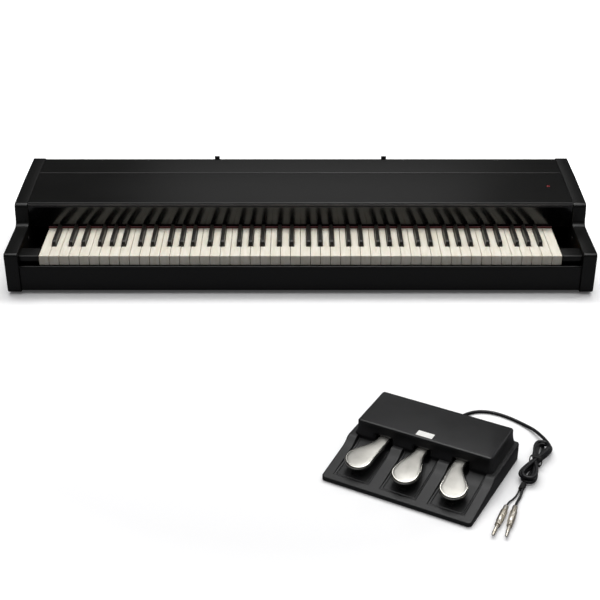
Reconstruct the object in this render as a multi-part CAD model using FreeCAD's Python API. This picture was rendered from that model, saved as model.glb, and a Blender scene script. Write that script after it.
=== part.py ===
import FreeCAD, Part
import math
import os

# Slab digital piano with 88 see-saw keys, and its three-pedal floor unit with a tied lead.
# Millimetres, +Z up, the floor at z = 0, +Y away from the player. The origin is on the floor,
# under the middle of the piano and pedal unit taken together.
V = FreeCAD.Vector

# Pedal unit on the floor
unit_width = 300.0
unit_depth = 244.0
unit_height = 68.0
unit_corner = 8.0
unit_yaw = -28.6
unit_x = 228.0
unit_y = -476.5

# Piano
width = 1380.0
cheek_depth = 437.0
cheek_low = -4.0
cheek_thick = 32.0
foot_height = 9.0
arm_height = 98.0
back_height = 160.0

# Keyboard
white_pitch = 23.5
white_gap = 1.0
white_count = 52
white_front = 12.0
white_top = 88.0
white_stick = 68.0
white_skirt = 65.0
white_head = 50.0
black_width = 10.4
black_front = 64.0
black_back = 160.0
black_top = 100.0
key_back = 290.0
balance_y = 237.0
ridge_r = 3.0
pin_r = 1.8
pin_hole_r = 3.2
slot_gap = 1.0

# Inside of the cabinet
board_low = 3.0
board_thick = 12.0
inner_half = width / 2 - cheek_thick
slip_front = 5.0
slip_thick = 6.0
wall = 4.0
rear_wall_y = 431.0
lid_seam_y = 341.0
rear_strip_z = 157.3
jack_r = 3.2
jack_depth = 30.0
jack_x = (-560.0, -530.0)
button_x = -600.0
inlet_x = -470.0
inlet_r = 2.9
inlet_depth = 14.0
socket_z = 60.0
peg_x = 215.0

# Pedals
neck_pitch = 78.0
lobe_pitch = 95.0
neck_half = 13.0
lobe_half = 27.0
slot_half = 17.0
case_front = 124.0
case_back = 240.0
case_foot = 37.0
axle_y = 205.0
axle_z = 42.0
axle_r = 4.0
pedal_thick = 7.0

# Lead
cord_r = 3.25
thin_lead_r = 1.6
thick_lead_r = 2.4
gland_length = 24.0
gland_z = 20.0
hank_start = V(477.0, -402.0, 0)
hank_heading = V(-0.437, -0.8995, 0)
hank_length = 145.0
hank_height = 22.0
sleeve_length = 18.0
sleeve_r = 5.5
plug_r = 6.2
plug_shaft_r = 3.175
plug_length = 90.0

yaw = math.radians(unit_yaw)
unit_reach = (
    (unit_width / 2 - unit_corner) * abs(math.sin(yaw))
    + (unit_depth / 2 - unit_corner) * math.cos(yaw)
    + unit_corner
)
piano_front = unit_reach - unit_y - cheek_depth
cheek_z = foot_height


# ---------------------------------------------------------------- helpers

def path_edges(points, radii, closed):
    """Straight runs joined by tangent arcs, with one radius per point (0 keeps the corner)."""
    count = len(points)
    starts = []
    ends = []
    mids = []
    for i in range(count):
        here = points[i]
        inner = closed or 0 < i < count - 1
        radius = radii[i] if inner else 0
        if not radius:
            starts.append(here)
            ends.append(here)
            mids.append(None)
            continue
        back = (points[i - 1] - here).normalize()
        ahead = (points[(i + 1) % count] - here).normalize()
        half_turn = (math.pi - back.getAngle(ahead)) / 2
        reach = radius * math.tan(half_turn)
        starts.append(here + back * reach)
        ends.append(here + ahead * reach)
        mids.append(here + (back + ahead).normalize() * radius * (1 / math.cos(half_turn) - 1))
    edges = []
    for i in range(count):
        if mids[i] is not None:
            edges.append(Part.Arc(starts[i], mids[i], ends[i]).toShape())
        last = i == count - 1
        if last and not closed:
            break
        target = starts[(i + 1) % count]
        if (target - ends[i]).Length > 1e-6:
            edges.append(Part.LineSegment(ends[i], target).toShape())
    return edges


def outline_face(points, radii):
    return Part.Face(Part.Wire(path_edges(points, radii, True)))


def prism_x(profile, x0, x1):
    """A solid from a list of (y, z, radius) carried along X."""
    points = [V(x0, y, z) for y, z, r in profile]
    return outline_face(points, [r for y, z, r in profile]).extrude(V(x1 - x0, 0, 0))


def prism_z(profile, z0, z1):
    """A solid from a list of (x, y, radius) carried up Z."""
    points = [V(x, y, z0) for x, y, r in profile]
    return outline_face(points, [r for x, y, r in profile]).extrude(V(0, 0, z1 - z0))


def box(x0, x1, y0, y1, z0, z1):
    return Part.makeBox(x1 - x0, y1 - y0, z1 - z0, V(x0, y0, z0))


def rod(r, length, start, direction):
    return Part.makeCylinder(r, length, start, direction)


def rounded_box(x0, x1, y0, y1, z0, z1, r):
    plan = [(x0, y0, r), (x1, y0, r), (x1, y1, r), (x0, y1, r)]
    return prism_z(plan, z0, z1)


def turned(profile, start, direction):
    """A solid of revolution: (distance along the axis, radius) pairs from start along direction."""
    foot = V(0, 0, profile[0][0])
    tip = V(0, 0, profile[-1][0])
    face = Part.Face(Part.makePolygon([foot] + [V(r, 0, s) for s, r in profile] + [tip, foot]))
    solid = face.revolve(V(0, 0, 0), V(0, 0, 1), 360)
    solid.Placement = FreeCAD.Placement(start, FreeCAD.Rotation(V(0, 0, 1), direction))
    return solid


def in_piano(shape):
    """From piano coordinates (y from the cheeks' front, z from their underside) to the model's."""
    moved = shape.copy()
    moved.translate(V(0, piano_front, cheek_z))
    return moved


def in_unit(shape):
    """From pedal unit coordinates (x from its middle, y from its front edge) to the model's."""
    moved = shape.copy()
    moved.translate(V(0, -unit_depth / 2, 0))
    moved.rotate(V(0, 0, 0), V(0, 0, 1), unit_yaw)
    moved.translate(V(unit_x, unit_y, 0))
    return moved


def save(name, shapes):
    solids = shapes if isinstance(shapes, list) else [shapes]
    shape = solids[0] if len(solids) == 1 else Part.makeCompound(solids)
    if not shape.isValid():
        print("NOT VALID", name)
    shape.exportStep("parts/" + name + ".step")
    box_size = shape.optimalBoundingBox(False)
    print("%-18s %3d solids %10.0f mm3  y %.1f..%.1f z %.1f..%.1f" % (
        name, len(shape.Solids), shape.Volume, box_size.YMin, box_size.YMax, box_size.ZMin, box_size.ZMax))


# ---------------------------------------------------------------- cabinet

def cheek(side):
    """End panel: low arm in front, a concave foot and a rounded nose up to the top."""
    profile = [
        (0, cheek_low, 9), (0, arm_height, 6), (158, arm_height, 9), (164.5, back_height - 9, 8),
        (310, back_height - 2, 0), (cheek_depth, back_height, 6), (cheek_depth, cheek_low, 4),
    ]
    outer = side * width / 2
    inner = side * inner_half
    panel = prism_x(profile, min(outer, inner), max(outer, inner))
    rims = [e for e in panel.Edges if abs(e.BoundBox.XMin - e.BoundBox.XMax) < 1e-6]
    return panel.makeFillet(2.0, rims)


def key_slip():
    """Front board under the keys, with a rounded top edge."""
    back = slip_front + slip_thick
    low = board_low - 2
    profile = [(slip_front, low, 1.5), (slip_front, 64, 2.5), (back, 64, 1), (back, low, 0)]
    return prism_x(profile, -inner_half + 0.2, inner_half - 0.2)


screw_spots = [(x, y) for x in (-500.0, 0.0, 500.0) for y in (60.0, 400.0)]
foot_spots = [(x, y) for x in (-600.0, 600.0) for y in (45.0, 385.0)]


def bottom_board():
    top = board_low + board_thick
    board = box(-inner_half + 0.2, inner_half - 0.2, slip_front + slip_thick + 0.2, rear_wall_y - wall - 0.2,
                board_low, top)
    for x, y in screw_spots:
        board = board.cut(rod(2.1, board_thick, V(x, y, board_low), V(0, 0, 1)))
    return board


def base_screws():
    """Pan-head screws that hold the key frame down, put in from below."""
    made = []
    for x, y in screw_spots:
        head = rod(4.5, 2.0, V(x, y, board_low - 2.0), V(0, 0, 1))
        made.append(head.fuse(rod(2.0, board_thick - 1, V(x, y, board_low), V(0, 0, 1))).removeSplitter())
    return made


def rubber_feet():
    profile = [(0, 13.0), (2, 15.0), (foot_height + board_low, 15.0)]
    return [turned(profile, V(x, y, -foot_height), V(0, 0, 1)) for x, y in foot_spots]


def top_cover():
    """Fixed lid over the action, with a deeper rounded lip in front."""
    profile = [
        (168, 143, 2.5), (168, 153, 4), (lid_seam_y - 0.6, 157, 0.8), (lid_seam_y - 0.6, 151, 0),
        (200, 145.8, 0), (190, 143, 0),
    ]
    lid = prism_x(profile, -inner_half + 0.3, inner_half - 0.3)
    return lid.cut(lamp(0.05))


def lamp(grow):
    """Small round-ended indicator lens, let into the lid."""
    half = 3.0 + grow
    r = 1.5 + grow
    x = 613.0
    y = 262.0
    plan = [(x - half - r, y - r, r * 0.99), (x + half + r, y - r, r * 0.99),
            (x + half + r, y + r, r * 0.99), (x - half - r, y + r, r * 0.99)]
    return prism_z(plan, 144.0, 154.9)


def rear_strip_low(y):
    """Height of the rear strip's sloping underside."""
    start = lid_seam_y + 0.6
    return rear_strip_z - wall + 1.7 * (y - start) / (rear_wall_y - start)


def rear_cover():
    """Strip of top behind the seam, rising a little to the back."""
    start = lid_seam_y + 0.6
    profile = [(start, rear_strip_low(start), 0), (start, rear_strip_z, 0.8),
               (rear_wall_y, rear_strip_z + 1.8, 3), (rear_wall_y, rear_strip_low(rear_wall_y), 0)]
    return prism_x(profile, -inner_half + 0.3, inner_half - 0.3)


def back_panel():
    """Back wall under the rear strip, with the socket holes."""
    inner_y = rear_wall_y - wall
    profile = [(inner_y, board_low, 0), (inner_y, rear_strip_low(inner_y), 0),
               (rear_wall_y, rear_strip_low(rear_wall_y), 0), (rear_wall_y, board_low, 0)]
    panel = prism_x(profile, -inner_half + 0.3, inner_half - 0.3)
    inside = rear_wall_y - wall - 1
    for x in jack_x:
        panel = panel.cut(rod(4.8, wall + 2, V(x, inside, socket_z), V(0, 1, 0)))
    panel = panel.cut(rod(4.3, wall + 2, V(inlet_x, inside, socket_z), V(0, 1, 0)))
    return panel.cut(rod(6.5, wall + 2, V(button_x, inside, socket_z), V(0, 1, 0)))


def fallboard():
    """Upright gloss board behind the keys."""
    profile = [(167.4, 90, 1), (166, 142.8, 0), (171.5, 142.8, 0), (172.5, 90, 0)]
    return prism_x(profile, -inner_half + 0.3, inner_half - 0.3)


def felt_strip():
    half = white_count * white_pitch / 2
    profile = [(160.8, 89, 0), (160.8, 93, 0), (163.4, 93, 0), (162.9, 90, 0), (162.9, 89, 0)]
    return prism_x(profile, -half, half)


def key_blocks():
    """Block beside each end key: a nose that overhangs a set-back foot."""
    keys_half = white_count * white_pitch / 2
    top = board_low + board_thick
    profile = [(white_front, 74, 2), (white_front, white_top, 3), (55, white_top, 2), (55, top, 0),
               (24, top, 0), (24, 74, 0)]
    made = []
    for side in (-1, 1):
        near = side * (keys_half + 1.5)
        far = side * (inner_half - 0.3)
        made.append(prism_x(profile, min(near, far), max(near, far)))
    return made


def cheek_screw_caps():
    made = []
    for side in (-1, 1):
        cap = turned([(0, 5.0), (0.8, 5.0), (1.4, 4.0)], V(side * inner_half, 139, 72), V(-side, 0, 0))
        made.append(cap)
    return made


def music_rest_pegs():
    """Two posts on the back wall that carry a music rest."""
    made = []
    for side in (-1, 1):
        x = side * peg_x
        profile = [(rear_wall_y, 120, 0), (rear_wall_y, 165, 2), (cheek_depth, 165, 2),
                   (cheek_depth, 120, 2)]
        made.append(prism_x(profile, x - 6.5, x + 6.5))
    return made


def key_frame():
    """Timber frame under the keys: front rail, balance rail with a round ridge, back rail, two ties."""
    low = board_low + board_thick
    half = white_count * white_pitch / 2
    front_rail = box(-half, half, 26, 58, low, 50)
    ridge = rod(ridge_r - 0.05, 2 * half, V(-half, balance_y, white_stick - ridge_r), V(1, 0, 0))
    balance = box(-half, half, balance_y - 14, balance_y + 14, low, white_stick - ridge_r - 1)
    balance = balance.fuse(box(-half, half, balance_y - 2, balance_y + 2, low, white_stick - ridge_r))
    back_rail = box(-half, half, 268, 300, low, 60)
    frame = front_rail.fuse([ridge, balance, back_rail])
    for x in (-half, -half / 3, half / 3 - 30, half - 30):
        frame = frame.fuse(box(x, x + 30, 58, 268, low, low + 14))
    for x in (-half, -half / 2, 0, half / 2, half - 12):
        frame = frame.fuse(box(x, x + 12, 294, 300, 60, 96))
    for centre, is_black in key_centres():
        frame = frame.cut(rod(pin_r, 40, V(centre, balance_y, 40), V(0, 0, 1)))
    return frame.removeSplitter()


def balance_pins():
    return [rod(pin_r, 46, V(centre, balance_y, 40), V(0, 0, 1)) for centre, is_black in key_centres()]


def front_stop_felt():
    half = white_count * white_pitch / 2
    return box(-half, half, 28, 56, 50, 55)


def back_rest_felt():
    half = white_count * white_pitch / 2
    return box(-half, half, 270, 289, 60, white_stick - 0.1)


def key_sensor_board():
    """Circuit strip over the key tails, with one sensor housing per key."""
    half = white_count * white_pitch / 2
    board = box(-half, half, 264, 300, 96, 97.6)
    housings = [box(c - 3, c + 3, 268, 276, 93, 96) for c, is_black in key_centres()]
    return board.fuse(housings).removeSplitter()


def main_board():
    low = board_low + board_thick
    board = box(-620, -380, 320, 410, low + 8, low + 9.6)
    parts = [box(-590, -560, 340, 370, low + 9.6, low + 12), box(-520, -500, 350, 370, low + 9.6, low + 12)]
    parts.append(box(-450, -420, 330, 345, low + 9.6, low + 18))
    for x in (-610, -390):
        for y in (328, 402):
            parts.append(rod(3, 8, V(x, y, low), V(0, 0, 1)))
    return board.fuse(parts).removeSplitter()


def socket(x, body, bushing_r, bore_r, bore_depth):
    """Panel socket: a housing behind the back wall and a bushing through it."""
    depth = jack_depth
    inner = rear_wall_y - wall - 0.2
    housing = box(x - body / 2, x + body / 2, rear_wall_y - depth - 2, inner, socket_z - 9, socket_z + 9)
    bushing = rod(bushing_r, wall + 1.2, V(x, inner, socket_z), V(0, 1, 0))
    bore = rod(bore_r, bore_depth + 2, V(x, rear_wall_y + 1 - bore_depth, socket_z), V(0, 1, 0))
    return housing.fuse(bushing).removeSplitter().cut(bore)


def pedal_jacks():
    return [socket(x, 18, 4.6, jack_r, jack_depth) for x in jack_x]


def dc_inlet():
    """Power inlet: a blind round mouth for a barrel plug."""
    return socket(inlet_x, 14, 4.1, inlet_r, inlet_depth)


def power_button():
    stem = rod(6.0, 12.0, V(button_x, rear_wall_y - 9.5, socket_z), V(0, 1, 0))
    flange = rod(8.0, 2.0, V(button_x, rear_wall_y - 9.5, socket_z), V(0, 1, 0))
    return stem.fuse(flange).removeSplitter()


# ---------------------------------------------------------------- keys

octave_blacks = {"c": -3.0, "d": 3.0, "f": -4.2, "g": 0.0, "a": 4.2}
white_names = "abcdefg"


def keyboard():
    """Every key from A0 to C8 as (name, x from the middle, is it black)."""
    keys = []
    octave = 0
    for i in range(white_count):
        letter = white_names[i % 7]
        if letter == "c":
            octave += 1
        centre = (i - (white_count - 1) / 2) * white_pitch
        keys.append((letter + str(octave), centre, False))
        if letter in octave_blacks and i < white_count - 1:
            keys.append((letter + "s" + str(octave), centre + white_pitch / 2 + octave_blacks[letter], True))
    return keys


def key_centres():
    """Where each key's balance pin stands."""
    spots = []
    for name, centre, is_black in keyboard():
        if is_black:
            spots.append((centre, True))
        else:
            left, right = tail_sides(centre)
            spots.append(((left + right) / 2, False))
    return spots


def tail_sides(centre):
    """Left and right sides of a white key's tail, narrowed where black keys stand beside it."""
    left = centre - (white_pitch - white_gap) / 2
    right = centre + (white_pitch - white_gap) / 2
    for name, spot, is_black in keyboard():
        if not is_black or abs(spot - centre) > white_pitch:
            continue
        clear = black_width / 2 + slot_gap
        if spot < centre:
            left = max(left, spot + clear)
        else:
            right = min(right, spot - clear)
    return left, right


def pin_hole(x):
    return rod(pin_hole_r, 60, V(x, balance_y, 50), V(0, 0, 1))


def white_key(centre):
    half = (white_pitch - white_gap) / 2
    head_back = white_front + white_head
    head = prism_x([(white_front, white_skirt, 0), (white_front, white_top, 1.2), (head_back, white_top, 0),
                    (head_back, white_stick, 0), (22, white_stick, 0), (18, white_skirt, 0)],
                   centre - half, centre + half)
    left, right = tail_sides(centre)
    tail = box(left, right, head_back, key_back, white_stick, white_top)
    return head.fuse(tail).removeSplitter().cut(pin_hole((left + right) / 2))


def black_key(centre):
    half = black_width / 2
    profile = [(black_front, white_stick, 0), (black_front, white_top + 1, 0),
               (black_front + 4.5, black_top, 3), (black_back, black_top, 1.5), (black_back, white_top, 0),
               (key_back, white_top, 0), (key_back, white_stick, 0)]
    body = prism_x(profile, centre - half, centre + half)
    tops = [e for e in body.Edges if e.BoundBox.ZMin > black_top - 0.01 and e.BoundBox.YLength > 50]
    return body.makeFillet(1.2, tops).cut(pin_hole(centre))


def save_keys():
    """The middle octave's keys one by one, and the rest as four groups."""
    groups = {"bass_white_keys": [], "bass_black_keys": [], "treble_white_keys": [], "treble_black_keys": []}
    for name, centre, is_black in keyboard():
        solid = in_piano(black_key(centre) if is_black else white_key(centre))
        octave = int(name[-1])
        if octave == 4:
            save("key_" + name, solid)
            continue
        side = "bass" if octave < 4 else "treble"
        groups[side + ("_black_keys" if is_black else "_white_keys")].append(solid)
    for name, solids in groups.items():
        save(name, solids)


# ---------------------------------------------------------------- pedal unit

def base_profile():
    return [(0, 2, 0), (0, 10, 2), (95, 26, 20), (112, case_foot, 3), (unit_depth, case_foot, 2),
            (unit_depth, 2, 0)]


def unit_plan(inset, r):
    half = unit_width / 2 - inset
    return [(-half, inset, r), (half, inset, r), (half, unit_depth - inset, r),
            (-half, unit_depth - inset, r)]


def pedal_base():
    """Moulded wedge with three shallow bays, a well for the levers and posts for the axle."""
    half = unit_width / 2
    base = prism_x(base_profile(), -half, half).common(prism_z(unit_plan(0, unit_corner), 0, 60))
    for i in (-1, 0, 1):
        bay = prism_x([(12, 60, 0), (12, 11, 0), (95, 21, 0), (122, 29, 0), (122, 60, 0)], -41, 41)
        bay.translate(V(i * lobe_pitch, 0, 0))
        base = base.cut(bay)
        base = base.cut(box(i * neck_pitch - 18, i * neck_pitch + 18, 110, 131, 25, 60))
    for i in (-1, 0, 1):
        base = base.cut(box(i * neck_pitch - 36, i * neck_pitch + 36, 130, 213, 8, 60))
    base = base.cut(box(-118, 118, 212, 234, 8, 60))
    for x in (-117, -39, 39, 117):
        post = box(x - 3, x + 3, axle_y - 8, axle_y + 8, 8, axle_z + 8)
        base = base.fuse(post)
    base = base.cut(rod(axle_r + 0.02, 250, V(-125, axle_y, axle_z), V(1, 0, 0)))
    return base.removeSplitter()


def case_body(z0, z1, inset0, inset1, y_front, y_back, r):
    """A drafted box between two rounded outlines."""
    wires = []
    for z, inset in ((z0, inset0), (z1, inset1)):
        half = unit_width / 2 - inset
        lean = inset - inset0
        points = [V(-half, y_front + lean * 0.4, z), V(half, y_front + lean * 0.4, z),
                  V(half, y_back - lean, z), V(-half, y_back - lean, z)]
        wires.append(Part.Wire(path_edges(points, [r] * 4, True)))
    return Part.makeLoft(wires, True, True)


def pedal_case():
    """Drafted cover, open below, with a slot in front for each pedal."""
    outer = case_body(case_foot + 0.05, unit_height, 9, 13, case_front, case_back, 4)
    top_rim = [e for e in outer.Edges if e.BoundBox.ZMin > unit_height - 0.01]
    outer = outer.makeFillet(2.5, top_rim)
    inner = case_body(case_foot - 1, unit_height - 3, 12, 16, case_front + 3, case_back - 3, 2)
    case = outer.cut(inner)
    for i in (-1, 0, 1):
        x = i * neck_pitch
        case = case.cut(box(x - slot_half, x + slot_half, case_front - 5, case_front + 8, 30, 47.5))
    return case


def unit_feet():
    made = []
    for x in (-130, 130):
        for y in (20, unit_depth - 20):
            made.append(rod(9, 2.0, V(x, y, 0), V(0, 0, 1)))
    return made


def pedal(i):
    """Spoon-shaped lever: a flat arm in the case, a neck and a wide lobe in front."""
    neck_x = i * neck_pitch
    lobe_x = i * lobe_pitch
    plan = [
        (neck_x - neck_half, 128, 0), (neck_x - neck_half, 92, 30), (lobe_x - lobe_half, 62, 30),
        (lobe_x - lobe_half, 20, 24), (lobe_x + lobe_half, 20, 24), (lobe_x + lobe_half, 62, 30),
        (neck_x + neck_half, 92, 30), (neck_x + neck_half, 128, 0),
    ]
    blade = prism_z(plan, 20, 60)
    side = [(19, 37.5, 2), (75, 44, 200), (129, 46, 0), (129, 46 - pedal_thick, 0),
            (75, 44 - pedal_thick, 200), (19, 37.5 - pedal_thick, 2)]
    blade = blade.common(prism_x(side, -150, 150))
    arm = box(neck_x - 7, neck_x + 7, 127, axle_y + 8, 38, 46)
    boss = rod(axle_r + 4, 14, V(neck_x - 7, axle_y, axle_z), V(1, 0, 0))
    lever = blade.fuse([arm, boss]).removeSplitter()
    return lever.cut(rod(axle_r + 0.05, 40, V(neck_x - 20, axle_y, axle_z), V(1, 0, 0)))


def pedal_axle():
    return rod(axle_r, 244, V(-122, axle_y, axle_z), V(1, 0, 0))


def pedal_spring(i):
    """Compression spring of four coils between the well's floor and the lever."""
    wire_r = 0.9
    coil_r = 6.0
    low = 8.0 + wire_r + 0.05
    high = 38.0 - wire_r - 0.1
    turns = 4
    helix = Part.makeHelix((high - low) / turns, high - low, coil_r)
    start = V(coil_r, 0, 0)
    circle = Part.Wire(Part.makeCircle(wire_r, start, V(0, 1, 0)))
    spring = Part.Wire(helix).makePipeShell([circle], True, True)
    spring.translate(V(i * neck_pitch, 165, low))
    return spring


def stop_pads(base):
    """Rubber stops that the pedals land on."""
    made = []
    for i in (-1, 0, 1):
        pad = turned([(0, 8.0), (9, 8.0), (10, 4.5), (12.2, 4.5)], V(i * lobe_pitch, 42, 8), V(0, 0, 1))
        made.append(pad.cut(base))
    return made


def unit_sensor_board():
    board = box(-115, 115, 216, 232, 10, 11.6)
    for i in (-1, 0, 1):
        board = board.fuse(box(i * neck_pitch - 5, i * neck_pitch + 5, 218, 226, 11.6, 20))
        board = board.fuse(rod(2, 2, V(i * neck_pitch + 20, 224, 8), V(0, 0, 1)))
    return board.removeSplitter()


# ---------------------------------------------------------------- lead

cord_route = [
    V(306.4, -332.7, 17.0),
    V(317.0, -314.0, 8.0),
    V(334.0, -295.0, 3.6),
    V(358.0, -284.0, 3.4),
    V(387.0, -288.0, 3.4),
    V(417.0, -306.0, 3.4),
    V(444.0, -332.0, 3.4),
    V(465.0, -363.0, 3.4),
]
thin_lead_route = [
    V(403.6, -547.6, 6.0),
    V(398.0, -560.5, 3.6),
    V(388.5, -573.0, 2.6),
    V(378.6, -584.0, 4.2),
]
thick_lead_route = [
    V(408.1, -549.7, 6.0),
    V(404.5, -563.0, 4.0),
    V(398.0, -575.0, 3.6),
    V(392.6, -586.5, 5.0),
]
thin_plug_rear = V(372.0, -599.0, 6.4)
thick_plug_rear = V(388.0, -600.0, 6.4)
thin_plug_heading = V(-0.397, -0.918, 0)
thick_plug_heading = V(-0.316, -0.949, 0)


def cord_tube(label, points, r):
    """Round tube along straight runs and the largest tangent arcs that they allow."""
    radii = [0.0]
    for i in range(1, len(points) - 1):
        back = points[i - 1] - points[i]
        ahead = points[i + 1] - points[i]
        half_turn = (math.pi - back.getAngle(ahead)) / 2
        radii.append(0.45 * min(back.Length, ahead.Length) / math.tan(half_turn))
    radii.append(0.0)
    wire = Part.Wire(path_edges(points, radii, False))
    heading = (points[1] - points[0]).normalize()
    ring = Part.Wire(Part.makeCircle(r, points[0], heading))
    tube = wire.makePipeShell([ring], True, False, 2)
    expected = math.pi * r * r * wire.Length
    print(label, "radii", [round(x) for x in radii[1:-1]], "length %.1f volume ratio %.4f" % (
        wire.Length, tube.Volume / expected))
    return tube


def gland():
    """Tapered strain relief on the unit's back edge; returns it and the point where the lead leaves it."""
    start = in_unit(Part.Vertex(0, unit_depth, gland_z)).Point
    heading = V(-math.sin(yaw), math.cos(yaw), 0)
    relief = turned([(0, 8.0), (3, 8.0), (3, 5.6), (gland_length, cord_r + 0.9)], start, heading)
    return relief, start + heading * gland_length


def hank():
    """Outer shape of the tied hank: two lobes and a waist."""
    half = [(0, 8, 6), (14, 18, 12), (44, 19, 14), (72, 9, 14), (101, 18, 14), (131, 17, 12),
            (hank_length, 7, 6)]
    plan = [(s, t, r) for s, t, r in half] + [(s, -t, r) for s, t, r in reversed(half)]
    shape = prism_z(plan, 0.6, hank_height)
    rims = [e for e in shape.Edges if abs(e.BoundBox.ZMax - e.BoundBox.ZMin) < 1e-6]
    shape = shape.makeFillet(3.0, rims)
    return on_hank(shape)


def on_hank(shape):
    """Places a shape whose X runs down the hank."""
    moved = shape.copy()
    moved.Placement = FreeCAD.Placement(hank_start, FreeCAD.Rotation(V(1, 0, 0), hank_heading)).multiply(
        moved.Placement)
    return moved


def plug(start, heading):
    """6.35 mm phone plug: strain nut, barrel, collar, shaft with a grooved tip."""
    profile = [
        (0, 4.4), (14, 4.8), (16, plug_r), (46, plug_r), (48, 5.2), (plug_length - 31, 5.2),
        (plug_length - 31, plug_shaft_r), (plug_length - 8, plug_shaft_r), (plug_length - 6.5, 2.3),
        (plug_length - 5, 2.9), (plug_length - 2, 2.7), (plug_length, 1.2),
    ]
    return turned(profile, start, heading)


def save_lead():
    relief, leave = gland()
    save("cable_gland", relief)
    print("lead leaves the gland at", leave)
    save("pedal_cord", cord_tube("pedal_cord", [leave] + cord_route + [hank_start + V(0, 0, 5)], cord_r))
    solid_hank = hank()
    save("cord_hank", solid_hank)
    band = on_hank(rounded_box(68, 76, -12, 12, 0.1, hank_height + 1.5, 1))
    save("hank_tie", band.cut(solid_hank))
    sleeve_start = hank_start + hank_heading * (hank_length + 0.05) + V(0, 0, 6)
    profile = [(0, sleeve_r), (sleeve_length - 2, sleeve_r), (sleeve_length, sleeve_r - 1)]
    save("split_sleeve", turned(profile, sleeve_start, hank_heading))
    save("thin_lead", cord_tube("thin_lead", thin_lead_route + [thin_plug_rear], thin_lead_r))
    save("thick_lead", cord_tube("thick_lead", thick_lead_route + [thick_plug_rear], thick_lead_r))
    plugs = [plug(thin_plug_rear, thin_plug_heading), plug(thick_plug_rear, thick_plug_heading)]
    save("phone_plugs", plugs)


# ---------------------------------------------------------------- build

def save_cabinet():
    save("left_cheek", in_piano(cheek(-1)))
    save("right_cheek", in_piano(cheek(1)))
    single = (key_slip, bottom_board, top_cover, rear_cover, back_panel, fallboard, felt_strip, key_frame,
              front_stop_felt, back_rest_felt, key_sensor_board, main_board, dc_inlet, power_button)
    for make in single:
        save(make.__name__, in_piano(make()))
    save("power_lamp", in_piano(lamp(0)))
    several = (base_screws, rubber_feet, key_blocks, cheek_screw_caps, music_rest_pegs, balance_pins,
               pedal_jacks)
    for make in several:
        save(make.__name__, [in_piano(solid) for solid in make()])


def save_unit():
    base = pedal_base()
    save("pedal_base", in_unit(base))
    save("pedal_case", in_unit(pedal_case()))
    save("unit_feet", [in_unit(solid) for solid in unit_feet()])
    save("pedal_axle", in_unit(pedal_axle()))
    save("unit_sensor_board", in_unit(unit_sensor_board()))
    save("stop_pads", [in_unit(solid) for solid in stop_pads(base)])
    for name, i in (("soft", -1), ("middle", 0), ("damper", 1)):
        save(name + "_pedal", in_unit(pedal(i)))
        save(name + "_spring", in_unit(pedal_spring(i)))


os.makedirs("parts", exist_ok=True)
save_cabinet()
save_keys()
save_unit()
save_lead()
print("piano front at y = %.2f" % piano_front)
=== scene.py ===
import math
import bmesh
import bpy
import numpy as np
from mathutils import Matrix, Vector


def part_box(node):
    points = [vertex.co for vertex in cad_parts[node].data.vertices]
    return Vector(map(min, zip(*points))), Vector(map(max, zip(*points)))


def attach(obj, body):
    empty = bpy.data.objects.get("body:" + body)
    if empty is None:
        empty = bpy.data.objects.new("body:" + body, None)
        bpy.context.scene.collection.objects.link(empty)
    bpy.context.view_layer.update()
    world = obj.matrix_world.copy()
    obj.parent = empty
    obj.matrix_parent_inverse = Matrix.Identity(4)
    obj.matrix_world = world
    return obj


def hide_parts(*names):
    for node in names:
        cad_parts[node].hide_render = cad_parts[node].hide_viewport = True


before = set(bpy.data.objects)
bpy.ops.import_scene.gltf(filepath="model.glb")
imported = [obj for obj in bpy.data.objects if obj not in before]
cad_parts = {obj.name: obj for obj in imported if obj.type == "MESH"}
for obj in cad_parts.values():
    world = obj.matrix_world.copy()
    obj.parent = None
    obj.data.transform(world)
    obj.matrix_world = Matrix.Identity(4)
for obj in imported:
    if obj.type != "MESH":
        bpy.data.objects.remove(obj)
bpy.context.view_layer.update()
scene = bpy.context.scene
mm = 0.001
print("frame loaded")

# the piano's own coordinates start at the cheeks' front edge, a little above their underside
underside = 4.0
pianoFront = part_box("left_cheek")[0][1] / mm
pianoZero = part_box("left_cheek")[0][2] / mm + underside
# camera, back and up from there, looking down by the tilt
camera = {"lens": 76.49, "tilt": 30.28, "back": 2650.0, "up": 1421.3, "shift": 0.0632, "shiftX": -0.0007}
camData = bpy.data.cameras.new("camera")
camData.lens = camera["lens"]
camData.sensor_width = 36.0
camData.shift_y = camera["shift"]
camData.shift_x = camera["shiftX"]
camObject = bpy.data.objects.new("camera", camData)
camObject.location = (0, (pianoFront - camera["back"]) * mm, (pianoZero + camera["up"]) * mm)
camObject.rotation_euler = (math.radians(90 - camera["tilt"]), 0, 0)
scene.collection.objects.link(camObject)
scene.camera = camObject


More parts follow.
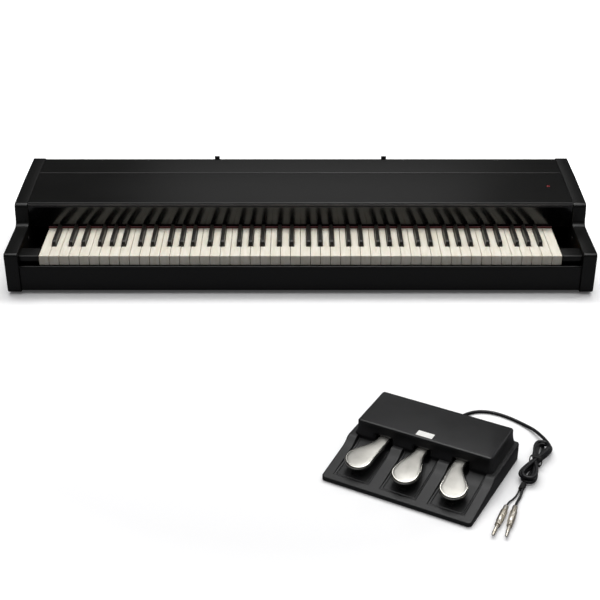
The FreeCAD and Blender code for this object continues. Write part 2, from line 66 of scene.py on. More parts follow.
# the mesh helpers below work in millimetres
def roundedOutline(corners, step=7):
    # closed loop of (u, v, radius) corners: each corner becomes an arc about the point that is one radius from
    # both sides, swept through the turn in equal steps
    loop = []
    for i, corner in enumerate(corners):
        here = np.array(corner[:2], float)
        back = np.array(corners[i - 1][:2], float) - here
        ahead = np.array(corners[(i + 1) % len(corners)][:2], float) - here
        back /= np.linalg.norm(back)
        ahead /= np.linalg.norm(ahead)
        turn = math.pi - math.acos(np.clip(back @ ahead, -1, 1))
        if corner[2] <= 0:
            loop.append(here[None])
            continue
        radius = corner[2]
        middle = (back + ahead) / np.linalg.norm(back + ahead)
        centre = here + middle * radius / math.cos(turn / 2)
        start = here + back * radius * math.tan(turn / 2) - centre
        side = np.sign(ahead[0] * back[1] - ahead[1] * back[0])
        angles = math.atan2(start[1], start[0]) + side * np.linspace(0, turn, int(math.degrees(turn) / step) + 2)
        loop.append(centre + radius * np.column_stack((np.cos(angles), np.sin(angles))))
    loop = np.vstack(loop)
    area = np.sum(loop[:, 0] * np.roll(loop[:, 1], -1) - np.roll(loop[:, 0], -1) * loop[:, 1])
    return loop if area > 0 else loop[::-1]


def insetLoop(loop, depth):
    # every point moves inwards along the mitre of its two sides, so that each side moves by depth
    ahead = np.roll(loop, -1, 0) - loop
    ahead /= np.linalg.norm(ahead, axis=1)[:, None]
    back = np.roll(ahead, 1, 0)
    normalA = np.column_stack((ahead[:, 1], -ahead[:, 0]))
    normalB = np.column_stack((back[:, 1], -back[:, 0]))
    mitre = (normalA + normalB) / (1 + np.sum(normalA * normalB, 1))[:, None]
    return loop - mitre * depth


def ringFaces(rings, around):
    # quads between neighbouring closed rings of a grid
    k, j = np.meshgrid(np.arange(rings - 1), np.arange(around), indexing="ij")
    a, b = k * around + j, k * around + (j + 1) % around
    return np.stack((a, b, b + around, a + around), -1).reshape(-1, 4).tolist()


def tubeFaces(rings, around):
    # the same with a flat face over the first and the last ring
    last = (rings - 1) * around
    return ringFaces(rings, around) + [list(range(around))[::-1], list(range(last, last + around))]


def slab(corners, low, high, edge, axis="x", steps=3, edgeHigh=None):
    # a rounded outline carried along an axis: near each end the outline shrinks by e(1 - sin a) while it travels
    # e(1 - cos a), which rounds the rim, and an n-gon closes each end
    edgeHigh = edge if edgeHigh is None else edgeHigh
    loop = roundedOutline(corners)
    angles = np.linspace(0, math.pi / 2, steps + 1)
    depths = np.concatenate((edge * (1 - np.sin(angles)), edgeHigh * (1 - np.sin(angles))[::-1]))
    travel = np.concatenate((low + edge * (1 - np.cos(angles)), (high - edgeHigh * (1 - np.cos(angles)))[::-1]))
    rings = [np.column_stack((insetLoop(loop, d), np.full(len(loop), w))) for d, w in zip(depths, travel)]
    points = np.vstack(rings)
    if axis == "x":
        points = points[:, [2, 0, 1]]
    return points, tubeFaces(len(rings), len(loop))


def turnedSolid(profile, start, heading, around=40):
    # surface of revolution: (distance, radius) pairs turned about a line from start along heading
    heading = np.array(heading, float) / np.linalg.norm(heading)
    side = np.cross(heading, (0, 0, 1.0))
    side /= np.linalg.norm(side)
    upward = np.cross(side, heading)
    profile = np.array(profile, float)
    turn = np.linspace(0, 2 * math.pi, around, endpoint=False)
    s, r = profile[:, 0][:, None, None], profile[:, 1][:, None, None]
    spoke = np.cos(turn)[:, None] * side + np.sin(turn)[:, None] * upward
    points = (np.array(start, float) + s * heading + r * spoke[None]).reshape(-1, 3)
    return points, tubeFaces(len(profile), around)


def joined(parts):
    # several (points, faces) surfaces as one
    points, faces, base = [], [], 0
    for p, f in parts:
        points.append(p)
        faces.extend([[base + i for i in face] for face in f])
        base += len(p)
    return np.vstack(points), faces


def addPiece(name, surface, materials, body, slot, nodes=(), faceMaterial=None, smooth=38):
    points, faces = surface
    mesh = bpy.data.meshes.new(name)
    mesh.from_pydata((points * mm).tolist(), [], faces)
    for material in materials:
        mesh.materials.append(material)
    if faceMaterial is not None:
        mesh.polygons.foreach_set("material_index", np.asarray(faceMaterial, dtype=np.int32))
    shape = bmesh.new()
    shape.from_mesh(mesh)
    bmesh.ops.recalc_face_normals(shape, faces=shape.faces)
    shape.to_mesh(mesh)
    shape.free()
    mesh.polygons.foreach_set("use_smooth", np.ones(len(mesh.polygons), dtype=bool))
    mesh.set_sharp_from_angle(angle=math.radians(smooth))
    piece = bpy.data.objects.new(name, mesh)
    scene.collection.objects.link(piece)
    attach(piece, body)
    if nodes:
        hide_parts(*nodes)
    return piece


def linear(code):
    # sRGB hex to linear light
    parts = [int(code[i:i + 2], 16) / 255 for i in (0, 2, 4)]
    return tuple(c / 12.92 if c <= 0.04045 else ((c + 0.055) / 1.055) ** 2.4 for c in parts) + (1.0,)


def addNode(tree, kind, settings=None, **links):
    # settings are the node's own properties or its inputs' values; links name its inputs, or number them as i0, i1
    node = tree.nodes.new("ShaderNode" + kind)
    for key, value in (settings or {}).items():
        if hasattr(node, key):
            setattr(node, key, value)
        else:
            node.inputs[key].default_value = value
    for key, socket in links.items():
        name = key.replace("_", " ")
        numbered = name[0] == "i" and name[1:].isdigit()
        tree.links.new(socket, node.inputs[int(name[1:]) if numbered else name])
    return node


def newFinish(name, colour, roughness, metallic=0.0, **fixed):
    material = bpy.data.materials.new(name)
    material.use_nodes = True
    shader = material.node_tree.nodes["Principled BSDF"]
    shader.inputs["Base Color"].default_value = linear(colour)
    shader.inputs["Roughness"].default_value = roughness
    shader.inputs["Metallic"].default_value = metallic
    for key, value in fixed.items():
        shader.inputs[key.replace("_", " ")].default_value = value
    return material, shader


def addRamp(tree, source, stops):
    # colour by value, through stops of (value, hex)
    ramp = addNode(tree, "ValToRGB", None, Fac=source)
    ends = ramp.color_ramp.elements
    ends[0].position, ends[1].position = stops[0][0], stops[-1][0]
    ends[0].color, ends[1].color = linear(stops[0][1]), linear(stops[-1][1])
    for place, code in stops[1:-1]:
        ramp.color_ramp.elements.new(place).color = linear(code)
    return ramp.outputs[0]


def mottled(shader, colours, scale, stretch=(1, 1, 1)):
    # colour drifts between two hex values in soft patches; scale is patches per metre
    tree = shader.id_data
    where = addNode(tree, "TexCoord")
    placed = addNode(tree, "Mapping", {"Scale": stretch}, Vector=where.outputs["Object"])
    noise = addNode(tree, "TexNoise", {"Scale": scale, "Detail": 4.0}, Vector=placed.outputs[0])
    colour = addRamp(tree, noise.outputs[0], [(0.35, colours[0]), (0.65, colours[1])])
    tree.links.new(colour, shader.inputs["Base Color"])
    return placed, noise.outputs[0]


def roughened(shader, source, low, high):
    # roughness follows a 0..1 pattern between two values
    span = addNode(shader.id_data, "MapRange", {"To Min": low, "To Max": high}, Value=source)
    shader.id_data.links.new(span.outputs[0], shader.inputs["Roughness"])


def bumped(shader, source, depth, strength=1.0):
    # depth is the height of the pattern in metres
    bump = addNode(shader.id_data, "Bump", {"Strength": strength, "Distance": depth}, Height=source)
    shader.id_data.links.new(bump.outputs[0], shader.inputs["Normal"])


def satinLacquer():
    # sprayed black polyester over board: soft sheen, faint orange peel about 4 mm across
    material, shader = newFinish("satinBlackLacquer", "0b0b0b", 0.36, IOR=1.5, Specular_IOR_Level=0.38)
    placed, noise = mottled(shader, ("090908", "0d0d0c"), 6.0)
    roughened(shader, noise, 0.3, 0.38)
    peel = addNode(shader.id_data, "TexNoise", {"Scale": 260.0, "Detail": 1.0}, Vector=placed.outputs[0])
    bumped(shader, peel.outputs[0], 0.00006, 0.5)
    return material


def paintedLipHighlight():
    # grey strip over the lid's black front lip: painted highlight standing in for the light the rounded lip catches
    material, shader = newFinish("lipPaintedHighlight", "444444", 0.45, IOR=1.5)
    placed, noise = mottled(shader, ("404041", "4a4948"), 20.0)
    roughened(shader, noise, 0.4, 0.5)
    return material


def glossPanel():
    # polished black acrylic: mirrors the keys, a few wipe marks in the roughness
    material, shader = newFinish("polishedBlackAcrylic", "050506", 0.08, IOR=1.49)
    placed, noise = mottled(shader, ("040405", "070708"), 9.0)
    roughened(shader, noise, 0.1, 0.18)
    return material


def ivoryTop():
    # moulded acrylic key top, warm white, faint long grain and a touch of light under the skin
    material, shader = newFinish("mouldedIvoryAcrylic", "e1dbcc", 0.32, IOR=1.49, Subsurface_Weight=0.05,
                                       Subsurface_Scale=0.004)
    placed, noise = mottled(shader, ("dcd6c5", "e6e1d4"), 40.0, stretch=(3.0, 0.4, 1.0))
    roughened(shader, noise, 0.26, 0.4)
    grain = addNode(shader.id_data, "TexNoise", {"Scale": 700.0, "Detail": 2.0}, Vector=placed.outputs[0])
    bumped(shader, grain.outputs[0], 0.00004, 0.4)
    return material


def ebonyTop():
    # moulded phenolic black key with fine lengthwise grain, about 2 mm apart
    material, shader = newFinish("mouldedEbonyPhenolic", "15130f", 0.34, IOR=1.55)
    placed, noise = mottled(shader, ("100f0d", "211e19"), 90.0, stretch=(6.0, 0.5, 2.0))
    roughened(shader, noise, 0.26, 0.42)
    bumped(shader, noise, 0.00006, 0.5)
    return material


def spruceStick():
    # planed spruce key stick: growth rings about 3 mm apart along its length
    material, shader = newFinish("planedSpruce", "c9a777", 0.6)
    placed, noise = mottled(shader, ("b8925f", "dabd90"), 60.0, stretch=(5.0, 0.25, 5.0))
    bumped(shader, noise, 0.0001, 0.4)
    return material


def feltCloth(name, dark, light):
    # pressed wool felt: fuzzy sheen, fibre clumps about 1 mm
    material, shader = newFinish(name, dark, 0.95, Sheen_Weight=0.5, Sheen_Roughness=0.5)
    placed, noise = mottled(shader, (dark, light), 900.0)
    bumped(shader, noise, 0.0003, 0.8)
    return material


def texturedAbs(name, code, low, high, rough):
    # moulded black ABS with a spark-eroded grain, drawn 1 mm wide so that it shows
    material, shader = newFinish(name, code, rough, IOR=1.53)
    placed, noise = mottled(shader, (low, high), 30.0)
    roughened(shader, noise, rough - 0.06, rough + 0.06)
    grain = addNode(shader.id_data, "TexVoronoi", {"Scale": 1000.0}, Vector=placed.outputs[0])
    bumped(shader, grain.outputs[0], 0.00008, 0.45)
    return material


def plainMoulding():
    # small black nylon mouldings with a fine matt skin
    material, shader = newFinish("mouldedBlackNylon", "141415", 0.5)
    placed, noise = mottled(shader, ("111112", "1a1a1b"), 120.0)
    bumped(shader, noise, 0.00005, 0.4)
    return material


def blackRubber():
    # moulded rubber: dull, slightly dusty
    material, shader = newFinish("mouldedRubber", "121212", 0.8)
    placed, noise = mottled(shader, ("0e0e0e", "1d1c1b"), 70.0)
    roughened(shader, noise, 0.7, 0.9)
    return material


def satinNickel():
    # nickel plate bead-blasted to a satin face: broad soft highlight, fine scuffs
    material, shader = newFinish("blastedSatinNickel", "bab8b2", 0.38, 1.0)
    placed, noise = mottled(shader, ("b0aea8", "c4c2bc"), 25.0)
    fine = addNode(shader.id_data, "TexNoise", {"Scale": 1400.0, "Detail": 2.0}, Vector=placed.outputs[0])
    roughened(shader, fine.outputs[0], 0.34, 0.46)
    bumped(shader, fine.outputs[0], 0.00005, 0.5)
    return material


def polishedNickel():
    # the same plate buffed bright
    material, shader = newFinish("polishedNickel", "c9c7c0", 0.16, 1.0)
    placed, noise = mottled(shader, ("c0beb6", "d2d0ca"), 60.0)
    roughened(shader, noise, 0.1, 0.2)
    return material


def champagneNickel():
    # nickel over brass on the plugs, turned and left slightly warm and dull
    material, shader = newFinish("turnedWarmNickel", "f6efe2", 0.4, 1.0)
    placed, noise = mottled(shader, ("f0e6d4", "faf5ec"), 90.0)
    roughened(shader, noise, 0.34, 0.48)
    return material


def cordJacket():
    # extruded PVC jacket: satin black, slightly wavy skin
    material, shader = newFinish("extrudedPvc", "161617", 0.42)
    placed, noise = mottled(shader, ("121213", "1c1c1e"), 180.0)
    roughened(shader, noise, 0.34, 0.5)
    bumped(shader, noise, 0.0001, 0.3)
    return material


def zincPlate():
    # zinc-plated steel with a cloudy passivated skin
    material, shader = newFinish("zincPlatedSteel", "a9aaa8", 0.35, 1.0)
    placed, noise = mottled(shader, ("9a9c9b", "b9b9b4"), 150.0)
    roughened(shader, noise, 0.28, 0.5)
    return material


def solderMask():
    # circuit board under green solder mask
    material, shader = newFinish("greenSolderMask", "0f4a26", 0.35)
    mottled(shader, ("0c3f20", "15582f"), 220.0)
    return material


def redLens():
    # clear red polycarbonate lens with a dim lamp behind it
    material, shader = newFinish("redPolycarbonate", "6e0c12", 0.15, Coat_Weight=0.5)
    shader.inputs["Emission Color"].default_value = linear("c01018")
    shader.inputs["Emission Strength"].default_value = 0.05
    mottled(shader, ("5c0a10", "841218"), 500.0)
    return material


def blankVinyl():
    # blank white vinyl label, slightly satin
    material, shader = newFinish("whiteVinyl", "f1f0ec", 0.45)
    mottled(shader, ("ecebe6", "f6f5f2"), 200.0)
    return material


lacquer, acrylic, ivory, ebony, spruce = satinLacquer(), glossPanel(), ivoryTop(), ebonyTop(), spruceStick()
redFelt, greyFelt = feltCloth("redWoolFelt", "3e080b", "621216"), feltCloth("greyWoolFelt", "4c4c4e", "6a6a6c")
absPlastic = texturedAbs("mouldedBlackAbs", "0f0f10", "0d0d0e", "131314", 0.36)
nylon, rubber, jacket = plainMoulding(), blackRubber(), cordJacket()
nickel, brightNickel, zinc, board = satinNickel(), polishedNickel(), zincPlate(), solderMask()
coarseAbs = texturedAbs("coarseBlackAbs", "0c0c0d", "0a0a0b", "0f0f10", 0.46)
lens, vinyl, lipHighlight, warmNickel = redLens(), blankVinyl(), paintedLipHighlight(), champagneNickel()
print("materials ready")

# the lead's route, in metres
lead = {
    "diameter": 0.0065, "length": 1.56, "thinDiameter": 0.0032, "thinLength": 0.093, "thickDiameter": 0.0048,
    "thickLength": 0.084, "hankStart": (0.477, -0.402), "hankHeading": (-0.437, -0.8995), "hankLength": 0.145,
}
hank = {"turns": 4, "perTurn": 16, "aside": (2.6, -2.6, 0.4), "reach": (65.5, 63.5, 61.5), "across": 12.6,
        "waist": 72.0, "top": 0.0184, "fall": 0.0136}
leadRoute = [
    (0.29789, -0.34831, 0.020),
    (0.3064, -0.3327, 0.017),
    (0.317, -0.314, 0.008),
    (0.334, -0.295, 0.0036),
    (0.358, -0.284, 0.0034),
    (0.387, -0.288, 0.0034),
    (0.417, -0.306, 0.0034),
    (0.444, -0.332, 0.0036),
    (0.465, -0.363, 0.008),
]
thinRoute = [
    (0.4036, -0.5476, 0.006), (0.398, -0.5605, 0.0036), (0.3885, -0.573, 0.0026), (0.3786, -0.584, 0.0042),
    (0.372, -0.599, 0.0064), (0.3593, -0.6284, 0.0064),
]
thickRoute = [
    (0.4081, -0.5497, 0.006), (0.4045, -0.563, 0.004), (0.398, -0.575, 0.0036), (0.3926, -0.5865, 0.005),
    (0.388, -0.600, 0.0064), (0.3786, -0.6285, 0.0064),
]


def onHank(s, t, z):
    # a point s along the hank's heading and t to its left
    heading = np.array(lead["hankHeading"]) / np.linalg.norm(lead["hankHeading"])
    flat = np.array(lead["hankStart"]) + s * heading + t * np.array((-heading[1], heading[0]))
    return (flat[0], flat[1], z)


def hankTurns():
    # figures of eight: along the hank s = m - A sgn(cos a)|cos a|^0.75, across it t = w sgn(sin 2a)|sin 2a|^0.8,
    # each turn a little to one side of the one above it; then a fold at the near end and a straight run
    points = []
    count = hank["perTurn"]
    total = hank["turns"] * count
    for i in range(2, total + 1):
        a = 2 * math.pi * i / count
        turn = (i + count // 4) // count % 3
        twist = math.sin(2 * a)
        t = hank["aside"][turn] + hank["across"] * math.copysign(abs(twist) ** 0.8, twist)
        s = hank["waist"] - hank["reach"][turn] * math.copysign(abs(math.cos(a)) ** 0.75, math.cos(a))
        z = hank["top"] - hank["fall"] * (i - 2) / (total - 2)
        points.append(onHank(s * mm, t * mm, z))
    for s, t, z in ((9, -6, 4.2), (14, -1, 4.0), (30, 0.5, 4.0), (60, -0.5, 4.2), (90, 0.5, 4.2), (120, 0.5, 4.4),
                    (139, 0, 5.4), (145.5, 0, 6)):
        points.append(onHank(s * mm, t * mm, z * mm))
    return points


def makeCord(name, points, diameter, nodes):
    # a NURBS spline through its control hull, as a round tube
    data = bpy.data.curves.new(name, "CURVE")
    data.dimensions = "3D"
    data.bevel_depth = diameter / 2
    data.bevel_resolution = 5
    data.resolution_u = 6
    data.use_fill_caps = True
    spline = data.splines.new("NURBS")
    spline.points.add(len(points) - 1)
    for point, place in zip(spline.points, points):
        point.co = (*place, 1.0)
    spline.order_u = 3
    spline.use_endpoint_u = True
    data.materials.append(jacket)
    cord = bpy.data.objects.new(name, data)
    scene.collection.objects.link(cord)
    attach(cord, "pedal_unit")
    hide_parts(*nodes)
    return cord


mainLead = makeCord("mainLead", leadRoute + hankTurns(), lead["diameter"], ["pedal_cord", "cord_hank"])
thinLead = makeCord("thinLead", thinRoute, lead["thinDiameter"], ["thin_lead"])
thickLead = makeCord("thickLead", thickRoute, lead["thickDiameter"], ["thick_lead"])

strain = {"ribs": 5, "length": 24.0, "flange": 3.0, "radius": 5.7, "taper": 1.7, "ripple": 0.45}
unitYaw = math.radians(-28.6)
unitCentre = np.array((228.0, -476.5))
unitSize = {"width": 300.0, "depth": 244.0}


def inUnit(points):
    # pedal unit coordinates (x from its middle, y from its front edge) to the frame
    x, y = points[:, 0], points[:, 1] - unitSize["depth"] / 2
    turned = np.column_stack((x * math.cos(unitYaw) - y * math.sin(unitYaw),
                              x * math.sin(unitYaw) + y * math.cos(unitYaw)))
    return np.column_stack((turned + unitCentre, points[:, 2]))


def strainProfile():
    # flange, then a cone whose radius ripples once per rib
    s = np.linspace(strain["flange"], strain["length"], 61)
    fall = (s - s[0]) / (s[-1] - s[0])
    ripple = strain["ripple"] * np.cos(2 * math.pi * strain["ribs"] * fall) * (1 - 0.5 * fall)
    radius = strain["radius"] - strain["taper"] * fall + ripple
    head = [(0, 7.4), (0.4, 8.0), (2.6, 8.0), (strain["flange"], 7.6)]
    return head + list(zip(s, radius)) + [(strain["length"] + 0.3, 3.4)]


unitHeading = (-math.sin(unitYaw), math.cos(unitYaw), 0)
backPoint = inUnit(np.array([[0, unitSize["depth"], 20.0]]))[0]
strainRelief = addPiece("leadStrainRelief", turnedSolid(strainProfile(), backPoint, unitHeading), [rubber],
                        "pedal_unit", "black_rubber", ["cable_gland"])

sleeveStart = np.array(onHank(lead["hankLength"] + 0.00005, 0, 0.006)) / mm
sleeve = addPiece(
    "splitSleeve",
    turnedSolid([(0, 4.6), (0.8, 5.5), (5, 5.5), (6, 5.2), (7, 5.5), (11, 5.5), (12, 5.2), (13, 5.5), (16.6, 5.3),
                 (18, 4.3)], sleeveStart, (*lead["hankHeading"], 0)),
    [rubber], "pedal_unit", "black_rubber", ["split_sleeve"])


def tieBand():
    # flat band round the waist: a thin oval section carried round a squarish oval of |t/a|^4 + |z/b|^4 = 1
    band = {"half": 4.0, "thick": 0.8, "across": 11.6, "up": 10.2, "middle": 12.0, "around": 48, "section": 12}
    around, section = band["around"], band["section"]
    turn = np.linspace(0, 2 * math.pi, around, endpoint=False)
    ring = np.linspace(0, 2 * math.pi, section, endpoint=False)
    reach = (np.abs(np.cos(turn)) ** 4 + np.abs(np.sin(turn)) ** 4) ** -0.25
    grow = band["thick"] * np.sin(ring)
    t = (band["across"] + grow[None]) * (reach * np.cos(turn))[:, None]
    z = band["middle"] + (band["up"] + grow[None]) * (reach * np.sin(turn))[:, None]
    s = hank["waist"] + band["half"] * np.cos(ring)[None] + 0 * t
    heading = np.array(lead["hankHeading"]) / np.linalg.norm(lead["hankHeading"])
    x = lead["hankStart"][0] / mm + s * heading[0] - t * heading[1]
    y = lead["hankStart"][1] / mm + s * heading[1] + t * heading[0]
    points = np.stack((x, y, z), -1).reshape(-1, 3)
    faces = ringFaces(around, section)
    last = (around - 1) * section
    faces += [[last + i, last + (i + 1) % section, (i + 1) % section, i] for i in range(section)]
    return points, faces


hankTie = addPiece("hankTie", tieBand(), [rubber], "pedal_unit", "black_moulding", ["hank_tie"])

plug = {"length": 90.0, "insulating": (81.05, 82.05), "starts": ((372.0, -599.0, 6.4), (388.0, -600.0, 6.4)),
        "headings": ((-0.397, -0.918, 0), (-0.316, -0.949, 0)), "around": 48}


def plugProfile():
    # strain nut, three-ring barrel, collar, then the shaft with its insulating ring and waisted tip
    nut = [(0, 2.6), (0.3, 4.2), (1.2, 4.7), (13.6, 4.9), (14, 4.4), (14.8, 4.4), (15.2, 5.4), (16.6, 6.2)]
    rings = [(s + d, r) for s in (20, 27, 34) for d, r in ((0, 6.2), (0.4, 5.7), (1.6, 5.7), (2, 6.2))]
    collar = [(45.6, 6.2), (47, 5.5), (47.6, 5.0), (51, 5.0), (51.4, 5.4), (58.6, 5.4), (59, 5.0), (59.1, 3.2)]
    tip = [(81.0, 3.175), (81.1, 3.12), (82.0, 3.12), (82.1, 3.175), (83.2, 2.5), (84.0, 2.35), (85.0, 2.9),
           (86.2, 3.0), (88.2, 2.2), (89.4, 1.3), (plug["length"], 0.5)]
    return nut + rings + collar + tip


def makePlugs():
    profile = plugProfile()
    around = plug["around"]
    first, last = plug["insulating"]
    surfaces, marks = [], []
    for start, heading in zip(plug["starts"], plug["headings"]):
        surfaces.append(turnedSolid(profile, start, heading, around))
        s = np.array([p[0] for p in profile])
        insulating = (s[:-1] >= first) & (s[1:] <= last)
        marks += np.repeat(insulating.astype(int), around).tolist() + [0, 0]
    return addPiece("phonePlugs", joined(surfaces), [warmNickel, nylon], "pedal_unit", "nickel_plug", ["phone_plugs"],
                    marks, 30)


plugs = makePlugs()
print("lead laid")


def inPiano(points):
    # piano coordinates to the frame
    return points + np.array((0, pianoFront, pianoZero))


def pianoPiece(name, surface, materials, slot, nodes=(), body="cabinet", **more):
    return addPiece(name, (inPiano(surface[0]), surface[1]), materials, body, slot, nodes, **more)


cabinet = {"half": 690.0, "inner": 658.0, "cheekEdge": 2.4, "gap": 0.3, "blockInner": 612.5, "pegs": (-215, 215),
           "pegHalf": 6.5}
cheekCorners = [
    (0, -underside, 10), (0, 98, 8), (158, 98, 14), (164.5, 151, 12), (310, 158, 400), (437, 160, 6),
    (437, -underside, 4),
]
for side, node in ((-1, "left_cheek"), (1, "right_cheek")):
    low, high = sorted((side * cabinet["half"], side * cabinet["inner"]))
    pianoPiece(node.replace("_c", "C"), slab(cheekCorners, low, high, cabinet["cheekEdge"], steps=4), [lacquer],
               "satin_black_paint", [node])

inner = cabinet["inner"] - cabinet["gap"]
pianoPiece("keySlip", slab([(5, 1, 1.5), (5, 64, 4.4), (11, 64, 1.2), (11, 1, 0.5)], -inner, inner, 0.4), [lacquer],
           "satin_black_paint", ["key_slip"])
pianoPiece("lid", slab([(168, 143, 2.6), (168, 153, 4.2), (340.4, 157, 0.9), (340.4, 151, 0.3), (200, 145.8, 4),
                        (190, 143, 2)], -inner, inner, 0.4), [lacquer], "satin_black_paint", ["top_cover"])
pianoPiece("fallboard", slab([(167.4, 90, 1), (166, 142.8, 0.5), (171.5, 142.8, 0.5), (172.5, 90, 0.5)],
                             -inner, inner, 0.3), [acrylic], "gloss_black_panel", ["fallboard"])
# painted highlight: a grey strip laid over the front face of the lid's lip
pianoPiece("lidLipPaintedHighlight", slab([(167.4, 143.8, 0.5), (167.4, 150.2, 0.6), (169, 150.2, 0.2), (169, 143.8, 0.2)],
                               -inner, inner, 0.2), [lipHighlight], "satin_black_paint")
pianoPiece("rearCover", slab([(341.6, 153.3, 0.3), (341.6, 157.7, 3.2), (431, 159.1, 3), (431, 155, 0.3)],
                             -inner, inner, 0.3), [lacquer], "satin_black_paint", ["rear_cover"])
blocks = []
for side in (-1, 1):
    low, high = sorted((side * cabinet["blockInner"], side * inner))
    blocks.append(slab([(12, 74, 2.5), (12, 88, 3.5), (55, 88, 2.5), (55, 15, 1), (24, 15, 1), (24, 74, 1)],
                       low, high, 0.8))
pianoPiece("keyBlocks", joined(blocks), [lacquer], "satin_black_paint", ["key_blocks"])
caps = [turnedSolid([(0, 5.0), (0.6, 5.0), (1.1, 4.6), (1.4, 3.8), (1.0, 2.0), (1.0, 0.4)],
                    (side * cabinet["inner"], 139, 72), (-side, 0, 0), 28) for side in (-1, 1)]
pianoPiece("screwCaps", joined(caps), [nylon], "black_moulding", ["cheek_screw_caps"])
pegs = [slab([(431, 120, 1), (431, 165, 2.4), (437, 165, 2.4), (437, 120, 2)],
             x - cabinet["pegHalf"], x + cabinet["pegHalf"], 1.2) for x in cabinet["pegs"]]
pianoPiece("musicRestPegs", joined(pegs), [nylon], "black_moulding", ["music_rest_pegs"])
pianoPiece("indicatorLens", slab([(608.8, 258.4, 3.5), (617.2, 258.4, 3.5), (617.2, 265.6, 3.5), (608.8, 265.6, 3.5)],
                                 152.0, 156.4, 0.0, "z", edgeHigh=1.0), [lens], "red_lens", ["power_lamp"])

carried = {
    "back_panel": lacquer, "bottom_board": lacquer, "felt_strip": redFelt, "key_frame": spruce,
    "front_stop_felt": greyFelt, "back_rest_felt": greyFelt, "key_sensor_board": board, "main_board": board,
    "dc_inlet": nylon, "power_button": nylon, "base_screws": zinc, "rubber_feet": rubber, "balance_pins": zinc,
    "pedal_jacks": nylon, "unit_feet": rubber, "pedal_axle": zinc, "unit_sensor_board": board,
    "soft_spring": zinc, "middle_spring": zinc, "damper_spring": zinc,
}
for node, finish in carried.items():
    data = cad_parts[node].data
    data.materials.clear()
    data.materials.append(finish)
print("cabinet built")

keys = {
    "pitch": 23.5, "gap": 1.0, "count": 52, "front": 12.0, "head": 50.0, "top": 88.0, "plate": 84.6, "skirt": 65.0,
    "stick": 68.0, "topEnd": 200.0, "back": 290.0, "blackWidth": 10.4, "slot": 1.0, "blackFront": 64.0,
    "blackEnd": 160.0, "blackTop": 100.0, "noseFoot": 88.6, "noseRun": 5.5, "noseLean": 1.2, "sideLean": 0.55,
    "corner": 1.3, "edge": 0.9, "skirtDepth": 3, "stickGap": 0.4,
}
blackShift = {"c": -3.0, "d": 3.0, "f": -4.2, "g": 0.0, "a": 4.2}


def keyList():
    # every key from A0 to C8 as (name, x of its middle, is it black)
    found, octave = [], 0
    for i in range(keys["count"]):
        letter = "abcdefg"[i % 7]
        octave += letter == "c"
        centre = (i - (keys["count"] - 1) / 2) * keys["pitch"]
        found.append((f"{letter}{octave}", centre, False))
        if letter in blackShift and i < keys["count"] - 1:
            found.append((f"{letter}s{octave}", centre + keys["pitch"] / 2 + blackShift[letter], True))
    return found


allKeys = keyList()
blackPlaces = np.array([x for name, x, dark in allKeys if dark])


def headSides(centre):
    reach = (keys["pitch"] - keys["gap"]) / 2
    return centre - reach, centre + reach


def tailSides(centre):
    # the narrow part of a white key ends at the slots beside its black neighbours
    left, right = headSides(centre)
    clear = keys["blackWidth"] / 2 + keys["slot"]
    beside = blackPlaces[np.abs(blackPlaces - centre) <= keys["pitch"]]
    left = max([left] + (beside[beside < centre] + clear).tolist())
    right = min([right] + (beside[beside > centre] - clear).tolist())
    return left, right


def whiteKey(centre):
    # top plate with its notches, a skirt down the front, and the timber stick under it
    left, right = headSides(centre)
    tailLeft, tailRight = tailSides(centre)
    front, headBack, end = keys["front"], keys["front"] + keys["head"], keys["topEnd"]
    corner, skirtBack, gap = keys["corner"], keys["front"] + keys["skirtDepth"], keys["stickGap"]
    plan = [(left, front, corner), (right, front, corner)]
    if tailRight < right - 0.1:
        plan += [(right, headBack, 0.8), (tailRight, headBack, 1.2)]
    plan += [(tailRight, end, 0), (tailLeft, end, 0)]
    if tailLeft > left + 0.1:
        plan += [(tailLeft, headBack, 1.2), (left, headBack, 0.8)]
    plate = slab(plan, keys["plate"], keys["top"], 0.0, "z", edgeHigh=keys["edge"])
    skirt = slab([(left, front, corner), (right, front, corner), (right, skirtBack, 0), (left, skirtBack, 0)],
                 keys["skirt"], keys["plate"], 0.3, "z", edgeHigh=0.0)
    low, high = max(left + gap, tailLeft), min(right - gap, tailRight)
    plan = [(low, skirtBack, 0), (high, skirtBack, 0), (high, keys["back"], 0), (low, keys["back"], 0)]
    if high < right - 0.5 and low > left + 0.5:
        plan = [(left + gap, skirtBack, 0), (right - gap, skirtBack, 0), (right - gap, headBack - gap, 0),
                (high, headBack - gap, 0), (high, keys["back"], 0), (low, keys["back"], 0),
                (low, headBack - gap, 0), (left + gap, headBack - gap, 0)]
    stick = slab(plan, keys["stick"], keys["plate"], 0.0, "z", steps=1)
    return joined([plate, skirt]), stick


